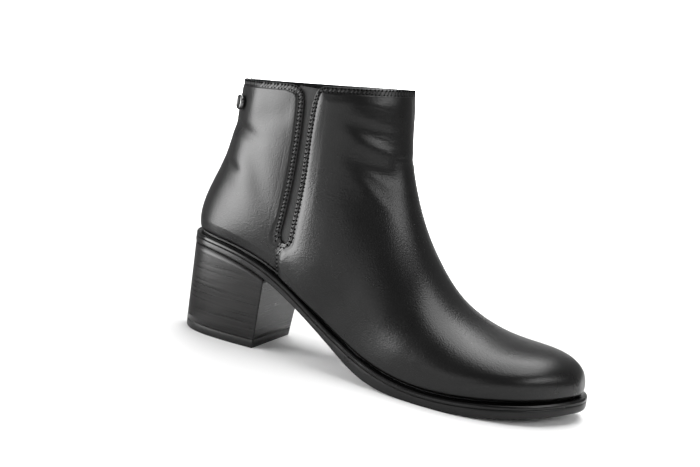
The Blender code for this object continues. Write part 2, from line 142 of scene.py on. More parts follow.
def cubic(knots, values):
    """Natural cubic curve through the values at the knots, as a function."""
    knots, values = np.asarray(knots, float), np.asarray(values, float)
    step = np.diff(knots)
    count = len(knots)
    system, right = np.eye(count), np.zeros(count)
    for i in range(1, count - 1):
        system[i, i - 1:i + 2] = step[i - 1], 2 * (step[i - 1] + step[i]), step[i]
        right[i] = 6 * ((values[i + 1] - values[i]) / step[i] - (values[i] - values[i - 1]) / step[i - 1])
    bend = np.linalg.solve(system, right)

    def curve(at):
        at = np.asarray(at, float)
        i = np.clip(np.searchsorted(knots, at) - 1, 0, count - 2)
        after, before = at - knots[i], knots[i + 1] - at
        bent = (bend[i] * before ** 3 + bend[i + 1] * after ** 3) / (6 * step[i])
        low = (values[i] / step[i] - bend[i] * step[i] / 6) * before
        high = (values[i + 1] / step[i] - bend[i + 1] * step[i] / 6) * after
        return bent + low + high
    return curve


def drawn(points, count=CURVE_POINTS):
    """Many points along the smooth line drawn through a few."""
    run = np.concatenate([[0], np.cumsum(np.hypot(*np.diff(points, axis=0).T))])
    at = np.linspace(0, run[-1], count)
    return np.stack([cubic(run, points[:, 0])(at), cubic(run, points[:, 1])(at)], axis=1)


def by_angle(points):
    """A line in side view as distance from the pivot against angle."""
    line = drawn(points)
    ahead, below = PIVOT[0] - line[:, 0], PIVOT[1] - line[:, 1]
    angle, radius = np.degrees(np.arctan2(below, ahead)), np.hypot(ahead, below)
    order = np.argsort(angle)

    def distance(at):
        return np.interp(at, angle[order], radius[order])
    return distance


def angle_of(x, z):
    return np.degrees(np.arctan2(PIVOT[1] - z, PIVOT[0] - x))


def rounded(x):
    """Place along the sole from 0 to 1, which runs fast at both round ends."""
    return np.arccos(np.clip(1 - 2 * np.asarray(x, float) / LENGTH, -1, 1)) / math.pi


def x_on(line, z):
    """The x of a line in side view at a height."""
    return np.interp(z, line[:, 1], line[:, 0])


def table(rows, column):
    """One column of a table as a smooth function of the first."""
    return cubic(rows[:, 0], rows[:, column])


def smooth(start, end, at):
    """Soft step from 0 at start to 1 at end."""
    share = np.clip((np.asarray(at, float) - start) / (end - start), 0, 1)
    return share * share * (3 - 2 * share)


feather_radius, ridge_radius, back_radius = by_angle(FEATHER), by_angle(RIDGE), by_angle(BACK)
widest_radius = by_angle(np.concatenate([WIDEST_SHAFT, WIDEST_FOOT[1:]]))
feather_height, underside_height = table(FEATHER, 1), table(UNDERSIDE, 1)
middle = table(CENTRE, 1)
outer_plan = cubic(rounded(SOLE_PLAN[:, 0]), SOLE_PLAN[:, 1])
inner_plan = cubic(rounded(SOLE_PLAN[:, 0]), SOLE_PLAN[:, 2])
breadth_outer, breadth_inner = table(BREADTH, 1), table(BREADTH, 2)
overhang = table(OVERHANG, 1)
BACK_LINE, FOOT_LINE, SHAFT_LINE = drawn(BACK), drawn(WIDEST_FOOT), drawn(WIDEST_SHAFT)[::-1]
RIDGE_LINE = drawn(RIDGE)
COLLAR_ANGLE, CORNER_ANGLE = float(angle_of(*BACK[-1])), float(angle_of(*FEATHER[0]))
EDGE_X = np.linspace(0, LENGTH, CURVE_POINTS)


def sole_edge(x, side):
    """Distance of the sole's edge from the heel's centre line, on one side of the foot."""
    return (outer_plan if side < 0 else inner_plan)(rounded(x))


SIDE_SHIFT = (sole_edge(EDGE_X, OUTER).max() - sole_edge(EDGE_X, INNER).max()) / 2
TO_FRAME = np.array([-LENGTH / 2, SIDE_SHIFT, 0])


def sole_top(x):
    return feather_height(np.clip(x, HEEL_END, TOE_END))


def sole_slant(x):
    """How much longer a thickness is when measured straight up through the sloping sole."""
    return np.hypot(1, sole_top(x + 0.5) - sole_top(x - 0.5))


def feather_half(x, side):
    """Half-breadth of the upper at the feather line, from the middle of the last."""
    on_sole = (np.asarray(x, float) - HEEL_END) / (TOE_END - HEEL_END) * LENGTH
    full = sole_edge(on_sole, side) + (middle(on_sole) if side < 0 else -middle(on_sole))
    return np.maximum(full, 0) * FEATHER_SCALE


def section_ends(angle):
    """Distances from the pivot to the outer and the inner end of a section plane."""
    outer = np.where(angle < CORNER_ANGLE, back_radius(angle), feather_radius(angle))
    return outer, ridge_radius(angle)


def widest(angle, side):
    """Half-breadth where a section plane crosses the widest line."""
    foot = PIVOT[0] - feather_radius(angle) * np.cos(np.radians(angle))
    blend = smooth(FOREFOOT_FROM, FOREFOOT_TO, angle)
    shaft = (breadth_outer if side < 0 else breadth_inner)(angle)
    return shaft * (1 - blend) + feather_half(foot, side) * (1 + overhang(angle)) * blend


def round_back(x, z):
    """How much of the full breadth is left towards the back of the shaft and heel."""
    middle_x = x_on(SHAFT_LINE, z)
    share = np.clip((middle_x - x) / (middle_x - x_on(BACK_LINE, z)), 0, 1)
    return (1 - share ** HEEL_ROUND) ** (1 / HEEL_ROUND)


def half_breadth(x, z, side):
    """Half-breadth of the upper, from the middle of the last, at a place in side view."""
    angle, reach = angle_of(x, z), np.hypot(PIVOT[0] - x, PIVOT[1] - z)
    line, ridge = widest_radius(angle), ridge_radius(angle)
    over = np.clip((line - reach) / np.maximum(line - ridge, WELD), 0, 1)
    over_instep = (1 - over ** INSTEP_ROUND) ** (1 / INSTEP_ROUND)
    floor, height = sole_top(x), np.interp(x, FOOT_LINE[:, 0], FOOT_LINE[:, 1])
    under = np.clip((height - z) / np.maximum(height - floor, WELD), 0, 1)
    at_sole = widest(angle_of(x, floor), side) * round_back(x, floor)
    drawn_in = 1 - np.clip(feather_half(x, side) / np.maximum(at_sole, WELD), 0, 1)
    return widest(angle, side) * over_instep * round_back(x, z) * (1 - drawn_in * under ** TUCK_POWER)


def side_view(angle, share):
    """The x and z on a section plane, at a share of the way from the sole or back to the front."""
    outer, inner = section_ends(angle)
    reach = outer + (inner - outer) * share
    return PIVOT[0] - reach * np.cos(np.radians(angle)), PIVOT[1] - reach * np.sin(np.radians(angle))


def on_last(angle, turn):
    """Points of the upper's outside. Turn runs from 0 at the back over the outer side to pi at the front."""
    outer_side = np.mod(turn, math.tau) <= math.pi
    share = (1 - np.cos(turn)) / 2
    x, z = side_view(angle, share)
    fade = np.clip((TOPLINE_TILT_TO - angle) / (TOPLINE_TILT_TO - COLLAR_ANGLE), 0, 1)
    full = half_breadth(x, z, INNER) / breadth_inner(COLLAR_ANGLE)
    x_in, z_in = side_view(angle + TOPLINE_TILT * fade * full, share)
    x, z = np.where(outer_side, x, x_in), np.where(outer_side, z, z_in)
    y = np.where(outer_side, -half_breadth(x, z, OUTER), half_breadth(x, z, INNER))
    return np.stack([x, y + middle(x), z + GAP], axis=-1)


def turn_at(x, z):
    """Section angle and turn of a place on the outer side."""
    angle = angle_of(x, z)
    outer, inner = section_ends(angle)
    share = (outer - np.hypot(PIVOT[0] - x, PIVOT[1] - z)) / (outer - inner)
    return angle, np.arccos(np.clip(1 - 2 * share, -1, 1))


def slopes(angle, turn):
    """How a point of the upper moves with the angle and with the turn."""
    small_angle, small_turn = 0.02, 0.004
    along = (on_last(angle + small_angle, turn) - on_last(angle - small_angle, turn)) / (2 * small_angle)
    around = (on_last(angle, turn + small_turn) - on_last(angle, turn - small_turn)) / (2 * small_turn)
    return along, around


def unit(vectors):
    return vectors / np.maximum(np.linalg.norm(vectors, axis=-1, keepdims=True), LEAST)


def outward(angle, turn):
    along, around = slopes(angle, turn)
    return unit(np.cross(along, around))


# Distance from the gore's opening, and the relief of the leather

SLOT_LINE = drawn(SLOT_EDGE, count=700)
SLOT_LOW = int(np.argmin(SLOT_LINE[:, 1]))
SLOT_ITSELF = drawn(SLOT_EDGE[2:-3], count=600)    # without its ends, which run along the topline
SLOT_BACK, SLOT_FRONT = SLOT_LINE[:SLOT_LOW + 1][::-1], SLOT_LINE[SLOT_LOW:]
# Beyond these the distance isn't needed: x of the slot's middle, reach to both sides, least height
SLOT_MIDDLE, SLOT_REACH, SLOT_LEAST_Z = 70, 62, 8
FAR, AT_ONCE = 99.0, 4000


def slot_distance(x, z):
    """Distance outside the edge of the gore's opening in side view, negative inside it."""
    flat = np.stack([np.ravel(x), np.ravel(z)], axis=1)
    gap = np.full(len(flat), FAR)
    near = (np.abs(flat[:, 0] - SLOT_MIDDLE) < SLOT_REACH) & (flat[:, 1] > SLOT_LEAST_Z)
    for part in np.array_split(np.flatnonzero(near), max(1, near.sum() // AT_ONCE)):
        away = flat[part][:, None] - SLOT_ITSELF[None]
        gap[part] = np.sqrt((away ** 2).sum(-1).min(1))
    inside = (flat[:, 1] > SLOT_LINE[SLOT_LOW, 1]) & near
    inside &= flat[:, 0] > x_on(SLOT_BACK, flat[:, 1])
    inside &= flat[:, 0] < x_on(SLOT_FRONT, flat[:, 1])
    return np.where(inside, -gap, gap).reshape(np.shape(x))


# Pressed margins beside the gore and along the topline
QUARTER_STRIP, VAMP_STRIP, COLLAR_STRIP = 3.5, 2.9, 3.1
STRIP_SUNK, SKIVED = 0.4, 0.55
VAMP_STEP, QUARTER_STEP, QUARTER_STEP_LOW, COLLAR_STEP = 1.2, 1.2, 2.6, 0.9
QUARTER_LOW = (64, 82)       # heights over which the quarter's step gets steeper upwards
SLOT_SIDE = 60               # farthest distance at which the gore still shapes the leather
# Swelling of the vamp beside the gore: height and fall of a roll and of a broad fullness
VAMP_ROLL, VAMP_ROLL_FALL, VAMP_FULL, VAMP_FULL_FALL = 1.5, 4.6, 1.4, 14.0
ROLL_LOSS, ROLL_LOSS_Z = 0.45, (84, 112)     # share that each loses upwards, and between which heights
FULL_LOSS, FULL_LOSS_Z = 0.6, (108, 136)
SWELL_SINKS, SWELL_ENDS, SWELL_FROM_TOP = (16, 46), (42, 54), (2, 9)
# Front edge of the gore and the seam below it: x at three heights, and half the breadth of the change
VAMP_STARTS_Z, VAMP_STARTS_X, VAMP_CHANGE = (60, 66, 150), (SEAM_X, 69.4, 73.0), 1.2
# Seam below the gore: heights where it starts, its sunk band from the seam's x, the swelling before it
SEAM_STARTS = (SEAM_TOP - 4, SEAM_TOP + 1)
SEAM_SUNK, SEAM_BAND_FROM, SEAM_BAND_TO = 0.5, (-2.6, -1.8), (1.4, 2.4)
SEAM_SWELL, SEAM_SWELL_FROM, SEAM_SWELL_FALL, SEAM_SWELL_Z = 0.5, (1.6, 4.0), 5.0, (44, 60)
# Edge of the upper rolled in over the welt, and the counter's break above it
TUCK_HIGH, TUCK_DEEP = 3.4, 2.4
BREAK_HIGH, BREAK_LEAN, BREAK_STARTS, BREAK_ENDS = 8.2, 0.13, (2, 14), (70, 96)


def on_vamp(x, z):
    """1 in front of the gore and its seam, 0 behind them."""
    return smooth(-VAMP_CHANGE, VAMP_CHANGE, x - np.interp(z, VAMP_STARTS_Z, VAMP_STARTS_X))


def crease_marks(x, z, side, gap):
    """Height of the creases and dents, and how much the leather is creased there."""
    front = x_on(RIDGE_LINE, z) - x
    at_z, broad, deep, back = FRONT_NOTCH
    lift = -deep * np.exp(-((z - at_z) / broad) ** 2) * (1 - smooth(0, back, front))
    creased = np.zeros(np.shape(x))
    begun = smooth(*CREASE_FROM_SLOT, gap) * smooth(*CREASE_FROM_FRONT, front)
    for where, creases in CREASES.items():
        for at_x, at_z, lie, long, broad, height in creases:
            run, rise = math.cos(math.radians(lie)), math.sin(math.radians(lie))
            ahead, across = (x - at_x) * run + (z - at_z) * rise, (z - at_z) * run - (x - at_x) * rise
            soft = np.exp(-(ahead / long) ** 2 - (across / broad) ** 2) * (np.asarray(side) == where)
            lift += height * soft * begun
            creased = np.maximum(creased, soft * (at_x > SEAM_X))
    return lift, creased


def relief(x, z, side, gap, from_top):
    """Height of the leather over the plain last: margins, seam, rolled edges, creases and dents."""
    outer = np.asarray(side) < 0
    by_slot = outer & (gap < SLOT_SIDE)
    vamp, low = on_vamp(x, z), 1 - smooth(*QUARTER_LOW, z)
    # Margins: the vamp swells beside the gore's, the quarter steps up sharply from it
    past = np.maximum(gap - VAMP_STRIP, 0)
    height = VAMP_ROLL * (1 - ROLL_LOSS * smooth(*ROLL_LOSS_Z, z))
    full = VAMP_FULL * (1 - FULL_LOSS * smooth(*FULL_LOSS_Z, z))
    roll = height * (1 - np.exp(-past / VAMP_ROLL_FALL)) + full * (1 - np.exp(-past / VAMP_FULL_FALL))
    roll = roll - (height + full) * smooth(*SWELL_SINKS, past)
    roll = roll * smooth(*SWELL_FROM_TOP, from_top) * (1 - smooth(*SWELL_ENDS, past))
    pressed_front = np.exp(-past / VAMP_STEP)
    pressed_back = 1 - smooth(QUARTER_STRIP, QUARTER_STRIP + QUARTER_STEP + QUARTER_STEP_LOW * low, gap)
    pressed = np.where(by_slot, vamp * pressed_front + (1 - vamp) * pressed_back, 0)
    pressed = np.maximum(pressed, 1 - smooth(COLLAR_STRIP, COLLAR_STRIP + COLLAR_STEP, from_top))
    lift = np.where(by_slot, vamp * roll, 0) - STRIP_SUNK * pressed
    # The leather is skived thinner towards its folded edge
    thin = np.where(outer, (1 - vamp) * (1 - np.clip(gap / QUARTER_STRIP, 0, 1)), 0)
    lift = lift - SKIVED * np.maximum(thin, 1 - np.clip(from_top / COLLAR_STRIP, 0, 1))
    # Seam below the gore
    below, off = 1 - smooth(*SEAM_STARTS, z), x - SEAM_X
    band = -SEAM_SUNK * smooth(*SEAM_BAND_FROM, off) * (1 - smooth(*SEAM_BAND_TO, off))
    swell = SEAM_SWELL * smooth(*SEAM_SWELL_FROM, off) * smooth(*SEAM_SWELL_Z, z)
    swell = swell * np.exp(-np.maximum(off - SEAM_SWELL_FROM[1], 0) / SEAM_SWELL_FALL)
    lift = lift + np.where(outer, below * (band + swell), 0)
    # Lower edge, rolled in over the welt, and the break above the heel's counter
    above = z - sole_top(x)
    rolled = 1 - np.clip(above / TUCK_HIGH, 0, 1)
    lift = lift - TUCK_DEEP * (1 - np.sqrt(1 - rolled ** 2))
    lean = np.maximum(BREAK_HIGH - above, 0) * (1 - smooth(*BREAK_ENDS, x)) * smooth(*BREAK_STARTS, x)
    return lift - BREAK_LEAN * lean + crease_marks(x, z, side, gap)[0]


# Mesh making

def sheet(points, mesh=None, cut=None, marks=None):
    """A grid carried onto an array of points, rows by columns, without the points that are cut away."""
    rows, columns = points.shape[:2]
    mesh = mesh or bmesh.new()
    layer = mesh.verts.layers.float.new("creased") if marks is not None else None
    made = bmesh.ops.create_grid(mesh, x_segments=rows - 1, y_segments=columns - 1, size=0.5)
    for vert, place in zip(made["verts"], ((points + TO_FRAME) * MM).transpose(1, 0, 2).reshape(-1, 3)):
        vert.co = place
    if marks is not None:
        for vert, mark in zip(made["verts"], marks.T.ravel()):
            vert[layer] = mark
    if cut is not None:
        gone = [vert for vert, out in zip(made["verts"], cut.T.ravel()) if out]
        bmesh.ops.delete(mesh, geom=gone, context="VERTS")
    return mesh


def slab(above, below):
    """A closed solid between two grids of points with the same rows and columns."""
    mesh = sheet(above)
    sheet(below, mesh)
    loops = [edge for edge in mesh.edges if edge.is_boundary]
    bmesh.ops.bridge_loops(mesh, edges=loops)
    return mesh


def placed(name, mesh, materials):
    """The object for a mesh, shaded smooth."""
    for face in mesh.faces:
        face.smooth = True
    data = bpy.data.meshes.new(name)
    mesh.to_mesh(data)
    mesh.free()
    for surface in materials:
        data.materials.append(surface)
    item = bpy.data.objects.new(name, data)
    bpy.context.scene.collection.objects.link(item)
    return item


def finished(name, mesh, materials, body="root", node=None, closed=True):
    """A piece of the boot: welded, turned outwards if it is closed, riding on its body."""
    bmesh.ops.remove_doubles(mesh, verts=mesh.verts, dist=WELD * MM)
    bmesh.ops.dissolve_degenerate(mesh, edges=mesh.edges, dist=SLIVER * MM)
    if closed:
        bmesh.ops.recalc_face_normals(mesh, faces=mesh.faces)
    piece = placed(name, mesh, materials)
    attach(piece, body)
    if node:
        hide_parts(node)
    return piece


def evenly_round(start, end, count):
    """Places from start to end, close together at both ends."""
    return start + (end - start) * (1 - np.cos(np.linspace(0, math.pi, count))) / 2


# Materials

def linear(code):
    """A colour in linear light from its sRGB hex code."""
    parts = [int(code[i:i + 2], 16) / 255 for i in (1, 3, 5)]
    return [part / 12.92 if part <= 0.04045 else ((part + 0.055) / 1.055) ** 2.4 for part in parts] + [1.0]


def material(name, colour, roughness, **sockets):
    """A new material with its shader's plain values, and that shader."""
    made = bpy.data.materials.new(name)
    made.use_nodes = True
    shader = made.node_tree.nodes["Principled BSDF"]
    shader.inputs["Base Color"].default_value = linear(colour)
    shader.inputs["Roughness"].default_value = roughness
    for key, value in sockets.items():
        shader.inputs[key.replace("_", " ")].default_value = value
    return made, shader


def node(made, kind, settings=(), inputs=(), links=()):
    """A node with its settings, its plain inputs and its links from other sockets."""
    added = made.node_tree.nodes.new(kind)
    for key, value in dict(settings).items():
        setattr(added, key, value)
    for key, value in dict(inputs).items():
        added.inputs[key].default_value = value
    for key, value in dict(links).items():
        made.node_tree.links.new(value, added.inputs[key])
    return added


def join(made, out, into):
    made.node_tree.links.new(out, into)


def per_mm(size):
    """Texture scale in metres of object space for a feature of that many millimetres."""
    return 1000.0 / size


NOISE_RANGE = {"From Min": 0.3, "From Max": 0.7}    # where most of a noise lies


def laid(made, shader, pattern, rough=None, bump=None):
    """Lays a pattern on a surface: roughness from one value to another, a bump's strength and depth."""
    if rough:
        spread = node(made, "ShaderNodeMapRange", {}, {**NOISE_RANGE, "To Min": rough[0], "To Max": rough[1]},
                      {"Value": pattern})
        join(made, spread.outputs["Result"], shader.inputs["Roughness"])
    if bump:
        raised = node(made, "ShaderNodeBump", {}, {"Strength": bump[0], "Distance": bump[1] * MM},
                      {"Height": pattern})
        join(made, raised.outputs["Normal"], shader.inputs["Normal"])
    return made


def patterned(made, shader, size, detail, **effects):
    """Lays an even noise of so many millimetres on a surface."""
    place = node(made, "ShaderNodeTexCoord").outputs["Object"]
    noise = node(made, "ShaderNodeTexNoise", {}, {"Scale": per_mm(size), "Detail": detail}, {"Vector": place})
    return laid(made, shader, noise.outputs["Fac"], **effects)


def leather():
    """Calf leather, pigmented black and lightly polished: soft broad highlights broken up by a fine grain.

    The real pores are about 0.3 mm, too fine for the picture, so they are drawn about three times as coarse.
    """
    blotch, pore, fold = 22, 0.85, 2.4
    made, shader = material("calf_leather_polished", "#070707", 0.29, Specular_IOR_Level=0.32)
    patterned(made, shader, blotch, 3.0, rough=(0.26, 0.32))
    place = node(made, "ShaderNodeTexCoord").outputs["Object"]
    # The grain is turned off the axes, or it would draw rings where the leather lies along one
    askew = node(made, "ShaderNodeMapping", {}, {"Rotation": (0.4, 0.7, 0.2)}, {"Vector": place})
    pores = node(made, "ShaderNodeTexVoronoi", {"feature": "SMOOTH_F1"},
                 {"Scale": per_mm(pore), "Randomness": 0.75}, {"Vector": askew.outputs["Vector"]})
    grain = node(made, "ShaderNodeTexNoise", {}, {"Scale": per_mm(pore), "Detail": 3.0},
                 {"Vector": askew.outputs["Vector"]})
    # Fine wrinkles lie along the folds, only where the leather is creased
    turned = node(made, "ShaderNodeMapping", {},
                  {"Rotation": (0, math.radians(-24), 0), "Scale": (0.16, 0.16, 1.0)}, {"Vector": place})
    wrinkle = node(made, "ShaderNodeTexNoise", {}, {"Scale": per_mm(fold), "Detail": 3.0},
                   {"Vector": turned.outputs["Vector"]})
    creased = node(made, "ShaderNodeAttribute", {"attribute_name": "creased"})
    folds = node(made, "ShaderNodeMath", {"operation": "MULTIPLY"}, {},
                 {0: wrinkle.outputs["Fac"], 1: creased.outputs["Fac"]})
    links = {}
    for height, strength, deep in ((pores.outputs["Distance"], 0.35, 0.2), (grain.outputs["Fac"], 0.28, 0.3),
                                   (folds.outputs["Value"], 0.3, 0.6)):
        bump = node(made, "ShaderNodeBump", {}, {"Strength": strength, "Distance": deep * MM},
                    {"Height": height, **links})
        links = {"Normal": bump.outputs["Normal"]}
    join(made, bump.outputs["Normal"], shader.inputs["Normal"])
    return made


def stacked_leather():
    """Heel stack of leather layers, stained and polished: fine level streaks, lighter where stain is thin."""
    made, shader = material("stacked_leather_polished", "#100f0f", 0.36, Specular_IOR_Level=0.3)
    place = node(made, "ShaderNodeTexCoord").outputs["Object"]
    level = node(made, "ShaderNodeMapping", {}, {"Scale": (0.025, 0.025, 1.0)}, {"Vector": place})
    streaks = node(made, "ShaderNodeTexNoise", {}, {"Scale": per_mm(0.9), "Detail": 6.0, "Roughness": 0.65},
                   {"Vector": level.outputs["Vector"]})
    tone = node(made, "ShaderNodeValToRGB", {}, {}, {"Fac": streaks.outputs["Fac"]})
    for stop, position, colour in zip(tone.color_ramp.elements, (0.36, 0.68), ("#070707", "#1b1a1a")):
        stop.position, stop.color = position, linear(colour)
    join(made, tone.outputs["Color"], shader.inputs["Base Color"])
    return laid(made, shader, streaks.outputs["Fac"], rough=(0.24, 0.38), bump=(0.3, 0.3))


def waxed_edge(name, colour, roughness):
    """Sole edge, stained black, waxed and burnished: smooth, with faint marks of the burnishing iron."""
    made, shader = material(name, colour, roughness, Specular_IOR_Level=0.3)
    return patterned(made, shader, 6, 4.0, rough=(roughness - 0.06, roughness + 0.08), bump=(0.06, 0.4))


LEATHER, STACK = leather(), stacked_leather()
WELT_EDGE = waxed_edge("welt_edge_waxed", "#080808", 0.2)
SOLE_EDGE = waxed_edge("outsole_edge_waxed", "#0a0a0a", 0.32)
# Pigskin lining, dyed dark grey and left unpolished: dull, with a fine nap
LINING = patterned(*material("pigskin_lining_unpolished", "#2a2a2a", 0.75), 0.9, 3.0, bump=(0.2, 0.3))
# Woven elastic of covered rubber cords: matt, ribbed along its length
ELASTIC = patterned(*material("woven_elastic_ribbed", "#1c1c1c", 0.8), 0.8, 2.0, bump=(0.3, 0.3))
# Bonded polyester thread, black: a satin twist that catches the light in short strokes
THREAD = patterned(*material("bonded_thread_twisted", "#151515", 0.42), 0.5, 1.0, bump=(0.3, 0.2))
# Painted shade of the needle holes, where the thread is drawn down into them: black, dull blobs, darker than
# the thread
PAINTED_HOLE_SHADE = patterned(*material("needle_hole_painted_shade", "#020202", 0.9, Specular_IOR_Level=0.1), 0.5, 1.0,
                  bump=(0.2, 0.2))
# Rubber, moulded: dark, dull, with a faint pebble
LIFT_RUBBER = patterned(*material("top_piece_rubber_moulded", "#0c0c0c", 0.45, Specular_IOR_Level=0.3),
                        1.0, 2.0, bump=(0.12, 0.3))
# Zinc stud, plated gunmetal and polished: dark mirror with fine hairlines
STUD_METAL = patterned(*material("zinc_gunmetal_plated", "#6c6c6c", 0.22, Metallic=1.0), 0.7, 2.0,
                       rough=(0.16, 0.28))
# Sunk face of the stud, filled with black enamel: smooth, dark and glossy
STUD_FACE = patterned(*material("enamel_black_fired", "#060606", 0.2), 2.5, 1.0, bump=(0.1, 0.3))
# Background paper, matt and pale, evenly lit up to white
PAPER = patterned(*material("background_paper_matt", "#efefef", 0.9), 3, 2.0, bump=(0.02, 0.2))


# Upper: outer leather on the last, left open at the gore and along the topline

EDGE_RADIUS = 0.55       # half the thickness of a folded edge
STRIP_SLOT, STRIP_COLLAR = 9.0, 7.0   # breadth of the finely drawn margin at the gore and at the collar
STRIP_STEP, STRIP_STEPS, FOLD_STEPS, MARGIN_ROWS = 0.7, 36, 9, 32
SLOT_CUT, COLLAR_CUT = 1.6, 1.4       # where the plain leather ends under that margin
TUCKED = 0.16            # how far it lies below the margin there, and over which breadths it goes down
TUCK_SLOT, TUCK_COLLAR = (STRIP_SLOT - 3.8, STRIP_SLOT - 0.3), (STRIP_COLLAR - 2.6, STRIP_COLLAR - 0.3)
MARGIN_SUNK, MARGIN_SINKS = 0.03, (0.78, 1.0)   # how far the margin's inner end dips under the plain leather
# Angles from the topline: at which the first normals are taken, and how far a margin may run past it
NORMALS_FROM, PAST_TOPLINE = 0.03, 0.02
RETURN_DEPTH, RETURN_ROWS = 1.98, (5.0, 3.2, 1.6, 0.6)   # turned-in edge, just inside the lining


def below_topline(angle, x, z):
    return np.radians(angle - COLLAR_ANGLE) * np.hypot(PIVOT[0] - x, PIVOT[1] - z)


# Grids over the last: angle at the top, rows down the shaft, ends and rows of the foot, columns to a side
UPPER_GRID = (COLLAR_ANGLE, 140, (HEEL_END, TOE_END), 176, 150)
LINING_GRID = (COLLAR_ANGLE + 0.25, 40, (HEEL_END + 0.2, TOE_END - 3), 70, 60)


def over_last(top, shaft_rows, foot_ends, foot_rows, columns):
    """A grid over the whole last: section angles, sides, points and normals."""
    shaft, foot = np.linspace(top, CORNER_ANGLE, shaft_rows)[:-1], evenly_round(*foot_ends, foot_rows)
    rows = np.concatenate([shaft, angle_of(foot, feather_height(foot))])
    rows[len(shaft)] = CORNER_ANGLE + TINY
    half = np.linspace(0, math.pi, columns)
    back = np.clip((math.tau - half[:-1])[::-1], math.pi + TINY, math.tau - TINY)
    angle, turn = np.meshgrid(rows, np.concatenate([half, back]), indexing="ij")
    side = np.where(turn <= math.pi, OUTER, INNER)
    inside = np.clip(turn, POLE_TURN, math.tau - POLE_TURN)
    normal = outward(np.maximum(angle, COLLAR_ANGLE + NORMALS_FROM), inside)
    return angle, side, on_last(angle, turn), normal


def upper_leather():
    """Outer leather on the last, down to the welt."""
    angle, side, points, normal = over_last(*UPPER_GRID)
    x, z = points[..., 0], points[..., 2] - GAP
    gap = np.where(side < 0, slot_distance(x, z), FAR)
    from_top = below_topline(angle, x, z)
    lift = relief(x, z, side, np.maximum(gap, 0), from_top)
    hidden = np.maximum(1 - smooth(*TUCK_SLOT, gap), 1 - smooth(*TUCK_COLLAR, from_top))
    points = points + normal * (lift - TUCKED * hidden)[..., None]
    cut = (gap < SLOT_CUT) | (from_top < COLLAR_CUT)
    mesh = sheet(points, cut=cut, marks=crease_marks(x, z, side, gap)[1])
    return finished("upper_leather", mesh, [LEATHER], node="upper", closed=False)


# Where the margin's breadth changes from the collar's to the gore's: below this height, over these distances
COLLAR_LEVEL, SLOT_BELOW_COLLAR = 151, (0.4, 9)
SOFTENED = 8             # places to each side over which the change is evened out
TOP_PLACES = 900


def margin_grid():
    """Places on the last along the edge of topline and gore: run along it, section angles and turns."""
    slot_angle, slot_turn = turn_at(SLOT_LINE[:, 0], SLOT_LINE[:, 1])
    top_turn = np.linspace(slot_turn[-1], math.tau + slot_turn[0], TOP_PLACES)[1:-1]
    angle = np.concatenate([np.maximum(slot_angle, COLLAR_ANGLE), np.full(len(top_turn), COLLAR_ANGLE)])
    turn = np.concatenate([slot_turn, top_turn])
    line = on_last(angle, turn)
    run = np.concatenate([[0], np.cumsum(np.linalg.norm(np.diff(line, axis=0), axis=1))])
    total = run[-1] + np.linalg.norm(line[0] - line[-1])
    at = np.linspace(0, total, int(total / STRIP_STEP) + 1)[:-1]
    run, angle, turn = np.append(run, total), np.append(angle, angle[0]), np.append(turn, turn[0] + math.tau)
    angle, turn = np.interp(at, run, angle), np.interp(at, run, turn)
    return at, angle, turn


def inward_rows(angle, turn, reach, steps):
    """Marches from the edge over the last, square to the edge: the points, normals and ways at each step."""
    edge = on_last(angle, turn)
    ahead = unit(np.roll(edge, -1, axis=0) - np.roll(edge, 1, axis=0))
    way = unit(np.cross(outward(angle, turn), ahead))
    if way[len(way) // 2, 2] > 0:
        way = -way
    rows = []
    for _ in range(steps + 1):
        normal = outward(angle, turn)
        rows.append((on_last(angle, turn), normal, way, angle.copy(), turn.copy()))
        along, around = slopes(angle, turn)
        way = unit(way - normal * (way * normal).sum(-1, keepdims=True))
        goal = way * (reach / steps)[:, None]
        aa, ab, bb = (along * along).sum(-1), (along * around).sum(-1), (around * around).sum(-1)
        ga, gb = (along * goal).sum(-1), (around * goal).sum(-1)
        wide = np.maximum(aa * bb - ab * ab, LEAST)
        angle = np.maximum(angle + (ga * bb - gb * ab) / wide, COLLAR_ANGLE - PAST_TOPLINE)
        turn = turn + (gb * aa - ga * ab) / wide
    return rows


